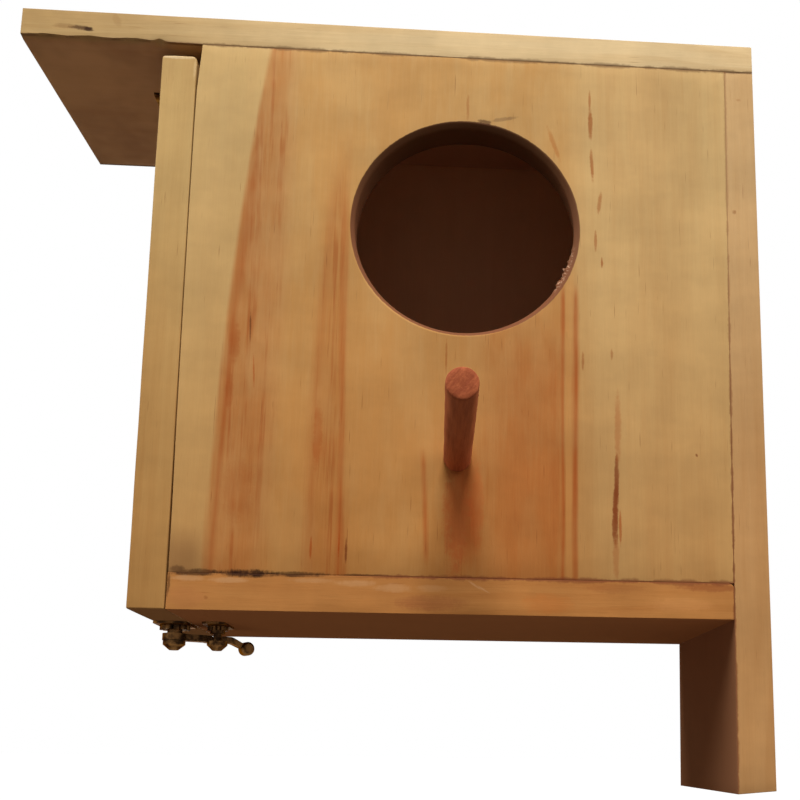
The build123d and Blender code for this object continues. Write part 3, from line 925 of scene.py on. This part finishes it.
front_flecks = (
    # Resin streak: a dark spindle in two lengths, with a faint tail above and below
    Fleck(-51.0, -26.0, 1.1, 11.0, STREAK, 0.9, -1.5),
    Fleck(-51.3, -33.5, 1.2, 9.0, STREAK, 0.9, -1.5),
    Fleck(-51.6, -41.0, 1.2, 9.0, STREAK, 0.9),
    Fleck(-49.9, -42.0, 0.6, 7.0, DEEP, 0.7),
    Fleck(-50.4, -8.0, 1.5, 15.0, DEEP, 0.45),
    Fleck(-51.4, -52.0, 1.3, 9.0, DEEP, 0.35),
    # Soot in the lower seam, towards the door
    Fleck(-186.0, -60.0, 9.0, 1.5, SOOT, 1.0),
    Fleck(-171.0, -60.0, 12.0, 1.7, SOOT, 1.0),
    Fleck(-155.0, -60.0, 12.0, 1.2, SOOT, 0.95),
    Fleck(-134.0, -60.0, 12.0, 0.8, SOOT, 0.7),
    Fleck(-193.6, -59.0, 3.0, 1.5, SOOT, 0.95),
    # Painted shadow of the perch, darker and redder, and redder wood beside it
    Fleck(-104.0, -38.0, 5.5, 26.0, (186, 104, 56), 0.75),
    Fleck(-97.5, -36.0, 3.0, 16.0, (196, 104, 52), 0.5),
    # Dark dashes under the roof: painted shade in the joint, with some stain
    Fleck(-24.0, 127.3, 6.0, 0.35, DASH, 0.8),
    Fleck(-52.0, 127.3, 3.0, 0.4, DASH, 0.7),
    Fleck(-118.0, 127.5, 12.0, 0.35, DASH, 0.5),
    Fleck(-176.0, 127.7, 9.0, 0.4, DASH, 0.6),
    # Short strokes of resin
    Fleck(-59.4, 113.0, 0.5, 4.5, SHORT, 0.8),
    Fleck(-59.3, 104.0, 0.9, 7.0, SHORT, 0.9),
    Fleck(-58.9, 88.0, 0.7, 7.5, SHORT, 0.8, 3.0),
    Fleck(-56.2, 73.5, 1.0, 5.0, SHORT, 0.6, -8.0),
    Fleck(-57.7, 59.5, 0.6, 4.5, SHORT, 0.7),
    Fleck(-55.4, 51.5, 0.5, 2.5, SHORT, 0.8),
    Fleck(-52.1, 18.3, 0.6, 2.5, SHORT, 0.7),
    Fleck(-62.1, 15.5, 0.6, 4.0, SHORT, 0.6),
    Fleck(-72.3, 95.5, 1.0, 8.0, BAND, 0.7, 18.0),
    Fleck(-102.8, 108.0, 0.7, 6.0, SHORT, 0.55),
    Fleck(-108.6, 15.0, 0.5, 7.5, SHORT, 0.55),
    Fleck(-23.5, -16.6, 0.5, 0.8, (128, 66, 34), 0.8, 20.0),
    # Dark burr over the entrance
    Fleck(-96.5, 102.9, 3.2, 0.9, (64, 34, 24), 0.95, -8.0),
    Fleck(-90.0, 104.2, 6.0, 0.9, (132, 100, 66), 0.75, 12.0),
    # Redder patches in the bands
    Fleck(-179.3, 18.0, 2.2, 9.0, RUST, 0.5),
    Fleck(-180.2, 1.0, 1.7, 7.0, RUST, 0.55),
    Fleck(-175.5, -33.0, 6.0, 13.0, (170, 98, 46), 0.35),
    Fleck(-150.5, -14.0, 2.0, 13.0, (172, 92, 40), 0.55),
    # Short dark strokes low in the second band
    Fleck(-151.4, -51.0, 0.5, 5.0, DEEP, 0.9),
    Fleck(-141.9, -50.0, 0.5, 4.5, DEEP, 0.9),
    Fleck(-139.5, -52.0, 0.5, 5.0, (120, 62, 30), 0.8),
    # Splits in the first band
    Fleck(-174.5, 24.0, 0.35, 6.0, (104, 60, 32), 0.8, 2.0),
    Fleck(-172.6, 8.0, 0.4, 7.0, DEEP, 0.8, 4.0),
)


BORE_RIM = 0.15  # half the fade between the bore and the front face, in millimetres
TORN_SLOPES = ((-0.78, -0.6), (-0.3, -0.12))  # height over distance to the right, at both ends of the tear
TORN_COLOUR = (216, 176, 144)
STAIN = (140, 98, 60)


def front_finish(graph, place, colour, fine):
    """Wall and arris of the entrance, end-grain brown with painted shade deepening towards the top, and a
    stained lower corner.
    """
    x, y, z = place
    dx = graph.math("SUBTRACT", x, HOLE_CENTRE[0] / MM)
    dz = graph.math("SUBTRACT", z, HOLE_CENTRE[1] / MM)
    radius = graph.math("SQRT", graph.squares(dx, dz))
    start = (HOLE_RADIUS + HOLE_EASING) / MM
    edge = graph.shifted(radius, fine, 0.5, 0.5)
    rim = graph.smooth(edge, start - BORE_RIM, start + BORE_RIM, 0.92, 0.0)
    # Painted shade in the entrance, deepest towards its top, over the end grain's brown
    shade_towards_top = graph.smooth(dz, -20.0, 34.0)
    bore = graph.mix(shade_towards_top, linear(122, 74, 52), linear(76, 42, 28))
    colour = graph.mix(rim, colour, bore)
    # Pale torn fibres low on the right of the rim
    around = graph.math("DIVIDE", dz, graph.math("MAXIMUM", dx, 1.0))
    inner = HOLE_RADIUS / MM
    torn = graph.product(
        graph.smooth(around, *TORN_SLOPES[0]), graph.fall(around, *TORN_SLOPES[1]),
        graph.fall(radius, inner + 0.3, inner + 0.9), graph.smooth(dx, 20.0, 25.0),
    )
    spots = graph.smooth(graph.noise(graph.vector(x, 0.0, z), 1.1, 2.0, 0.6), 0.48, 0.66, 0.0, 0.8)
    colour = graph.mix(graph.product(torn, spots), colour, linear(*TORN_COLOUR))
    corner = graph.product(graph.fall(x, -190.0, -181.0), graph.smooth(z, -54.0, -43.0, 0.55, 0.0))
    return graph.mix(corner, colour, linear(*STAIN))


front_pine = pine(
    "front_pine", "Z", (-60.0, 210.0), (204, 172, 118), (186, 142, 88), ring=7.0, contrast=0.2, seed=5.0,
    marks=front_marks, flecks=front_flecks, finish=front_finish,
    seams=[UNDER_ROOF, OVER_FLOOR, BESIDE_MOUNT],
)
front_points, front_faces = front_board()
front = mesh_object("front", front_points, front_faces, "box", "pine_board", front_pine)
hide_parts("front_board")

# Perch
dowel_low, dowel_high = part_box("perch_dowel")
PERCH_AXIS = ((dowel_low.x + dowel_high.x) / 2, (dowel_low.z + dowel_high.z) / 2)
PERCH_RADIUS = (dowel_high.x - dowel_low.x) / 2
PERCH_SIDES = 64
PERCH_STEPS = 70
PERCH_TIP = ((0.0, 0.3), (0.0, 0.7), (0.05, 0.93), (0.25, 0.98))  # millimetres in, share of the radius
PERCH_SHAFT = 0.6 * MM  # distance from the end to where the full radius starts
PERCH_UNEVEN = 0.07
PERCH_KNOBS, PERCH_LONG = 1.6, 110.0  # scale of the unevenness, round the perch and along it
PERCH_LEAN = 0.7 * MM  # the tip stands this far to the left


def perch_mesh():
    """A slightly uneven rod along Y, closed at both ends."""
    section = [(dowel_low.y + within * MM, share * PERCH_RADIUS) for within, share in PERCH_TIP]
    start = dowel_low.y + PERCH_SHAFT
    reach = dowel_high.y - start
    section += [(start + reach * step / PERCH_STEPS, PERCH_RADIUS) for step in range(PERCH_STEPS + 1)]
    points, faces = [], []
    for along, radius in section:
        lean = PERCH_LEAN * min(1.0, max(0.0, (BOARD_FRONT - along) / (BOARD_FRONT - dowel_low.y)))
        for side in range(PERCH_SIDES):
            angle = 2 * math.pi * side / PERCH_SIDES
            cosine, sine = math.cos(angle), math.sin(angle)
            place = Vector((cosine * PERCH_KNOBS, sine * PERCH_KNOBS, along * PERCH_LONG))
            uneven = radius * (1.0 - PERCH_UNEVEN * (0.5 + 0.5 * noise.noise(place)))
            points.append((PERCH_AXIS[0] + uneven * cosine - lean, along, PERCH_AXIS[1] + uneven * sine))
    for ring in range(len(section) - 1):
        here, after = ring * PERCH_SIDES, (ring + 1) * PERCH_SIDES
        for side in range(PERCH_SIDES):
            follow = (side + 1) % PERCH_SIDES
            faces.append((after + side, after + follow, here + follow, here + side))
    faces.append(tuple(range(PERCH_SIDES)))
    faces.append(tuple(range(len(points) - 1, len(points) - 1 - PERCH_SIDES, -1)))
    return points, faces


def dowel_wood():
    """Reddish hardwood of the perch, with fibres along Y and a sawn end."""
    graph = Graph("dowel_wood")
    x, y, z = graph.millimetres()
    fibres = graph.vector(x, graph.product(y, 0.06), z)
    fine = graph.noise(fibres, 1.6, 4.0, 0.65)
    broad = graph.noise(fibres, 0.35, 2.0, 0.5)
    share = graph.smooth(graph.math("MULTIPLY_ADD", broad, 0.6, graph.product(fine, 0.5)), 0.35, 0.75)
    colour = graph.mix(share, linear(196, 110, 70), linear(156, 82, 50))
    # Saw marks across the end, and a browner shaft
    slanted = graph.math("MULTIPLY_ADD", x, 0.8, graph.product(z, -0.6))
    along_cut = graph.math("MULTIPLY_ADD", x, 0.04, graph.product(z, 0.05))
    saw = graph.smooth(graph.noise(graph.vector(slanted, along_cut, 0.0), 1.5, 2.0, 0.6), 0.35, 0.65)
    tip = dowel_low.y / MM
    end = graph.fall(y, tip + 0.05, tip + 0.6)
    colour = graph.mix(graph.product(end, graph.product(saw, 0.5)), colour, linear(140, 66, 44))
    colour = graph.mix(graph.math("SUBTRACT", 1.0, end), colour, linear(232, 232, 228), "MULTIPLY")
    graph.surface(Base_Color=colour, Roughness=0.7, Specular_IOR_Level=0.08)
    graph.bump(fine, 0.12 * MM, 0.8)
    return graph.material


perch = mesh_object("perch", *perch_mesh(), "box", "dowel", dowel_wood())
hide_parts("perch_dowel")


# Metal


def antique_brass():
    """Antique brass: dark in its hollows, brighter and smoother where hands have rubbed it."""
    graph = Graph("antique_brass")
    x, y, z = graph.millimetres()
    point = graph.vector(x, y, z)
    stain = graph.smooth(graph.noise(point, 0.3, 3.0, 0.5), 0.32, 0.68)
    grit = graph.noise(point, 3.5, 2.0, 0.6)
    colour = graph.mix(stain, linear(118, 84, 48), linear(46, 31, 20))
    roughness = graph.smooth(stain, 0.0, 1.0, 0.32, 0.55)
    graph.surface(Base_Color=colour, Roughness=roughness, Metallic=1.0, Specular_Tint=linear(196, 166, 134))
    graph.bump(grit, 0.03 * MM, 0.6)
    return graph.material


brass = antique_brass()
for node_name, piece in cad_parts.items():
    if node_name.startswith(("hinge_", "latch_", "catch_")):
        piece.data.materials.clear()
        piece.data.materials.append(brass)


# Stage, light and camera


def camera_or_mirror(tree):
    """A socket that is 1 for rays from the camera and for reflections and glass."""
    path = tree.nodes.new("ShaderNodeLightPath")
    made = path.outputs["Is Camera Ray"]
    for name in ("Is Glossy Ray", "Is Transmission Ray"):
        either = tree.nodes.new("ShaderNodeMath")
        either.operation = "MAXIMUM"
        tree.links.new(made, either.inputs[0])
        tree.links.new(path.outputs[name], either.inputs[1])
        made = either.outputs[0]
    return made


def choose(tree, otherwise, shown, surface):
    """Gives surface the shader shown to camera rays and reflections, and otherwise the other one."""
    mixed = tree.nodes.new("ShaderNodeMixShader")
    for index, socket in enumerate((camera_or_mirror(tree), otherwise.outputs[0], shown.outputs[0])):
        tree.links.new(socket, mixed.inputs[index])
    tree.links.new(mixed.outputs[0], surface)


WHITE = (1.0, 1.0, 1.0, 1.0)
FLOOR_DROP = 90 * MM  # from the lowest point of the object to the floor
FLOOR_REACH = 12.0
FLOOR_COLOUR = (0.085, 0.064, 0.048, 1.0)
FLOOR_WHITE = 0.95
AMBIENT = (1.0, 0.93, 0.86, 1.0)
AMBIENT_STRENGTH = 0.11


def stage_floor():
    """A pale floor under the hanging box, white to the camera but for the box's shadow."""
    graph = Graph("stage_floor")
    tree = graph.tree
    graph.surface(Base_Color=FLOOR_COLOUR, Roughness=0.9)
    white = graph.node("ShaderNodeEmission", {"Color": WHITE, "Strength": FLOOR_WHITE})
    both = graph.node("ShaderNodeAddShader", {0: graph.shader.outputs[0], 1: white.outputs[0]})
    choose(tree, graph.shader, both, tree.nodes["Material Output"].inputs["Surface"])
    height = cad_box[0][2] - FLOOR_DROP
    mesh = bpy.data.meshes.new("stage_floor")
    corners = [(x * FLOOR_REACH, y * FLOOR_REACH, height) for x, y in ((-1, -1), (1, -1), (1, 1), (-1, 1))]
    mesh.from_pydata(corners, [], [(0, 1, 2, 3)])
    mesh.materials.append(graph.material)
    made = bpy.data.objects.new("stage_floor", mesh)
    bpy.context.scene.collection.objects.link(made)


def world_light():
    world = bpy.data.worlds.new("studio")
    bpy.context.scene.world = world
    world.use_nodes = True
    tree = world.node_tree
    dim = tree.nodes["Background"]
    dim.inputs["Color"].default_value = AMBIENT
    dim.inputs["Strength"].default_value = AMBIENT_STRENGTH
    white = tree.nodes.new("ShaderNodeBackground")
    white.inputs["Color"].default_value = WHITE
    white.inputs["Strength"].default_value = 1.0
    choose(tree, dim, white, tree.nodes["World Output"].inputs["Surface"])


LAMP_AIM = Vector((-120 * MM, 0.0, 20 * MM))


def lamp(name, place, size, power, colour):
    """A square lamp that looks at the middle of the box."""
    data = bpy.data.lights.new(name, "AREA")
    data.shape = "SQUARE"
    data.size = size
    data.energy = power
    data.color = colour
    made = bpy.data.objects.new(name, data)
    made.location = place
    made.rotation_euler = (LAMP_AIM - Vector(place)).to_track_quat("-Z", "Y").to_euler()
    bpy.context.scene.collection.objects.link(made)


stage_floor()
world_light()
lamp("key", (-0.15, -0.85, 1.05), 0.6, 17.0, (1.0, 0.97, 0.93))
lamp("fill", (0.95, -0.5, 0.75), 0.9, 7.0, (1.0, 0.96, 0.92))
lamp("rear", (0.35, 1.2, 0.8), 0.9, 16.0, (1.0, 0.97, 0.94))
lamp("door_side", (-1.15, -0.1, 0.85), 0.9, 11.0, (1.0, 0.97, 0.94))

camera_data = bpy.data.cameras.new("camera")
camera_data.lens = CAMERA_LENS
camera_data.shift_x, camera_data.shift_y = CAMERA_SHIFT
camera_data.clip_start = CAMERA_NEAR
camera = bpy.data.objects.new("camera", camera_data)
camera.location = CAMERA_PLACE
camera.rotation_euler = Euler([math.radians(a) for a in CAMERA_TURN], "XYZ")
bpy.context.scene.collection.objects.link(camera)
bpy.context.scene.camera = camera
bpy.context.scene.view_settings.view_transform = "Standard"
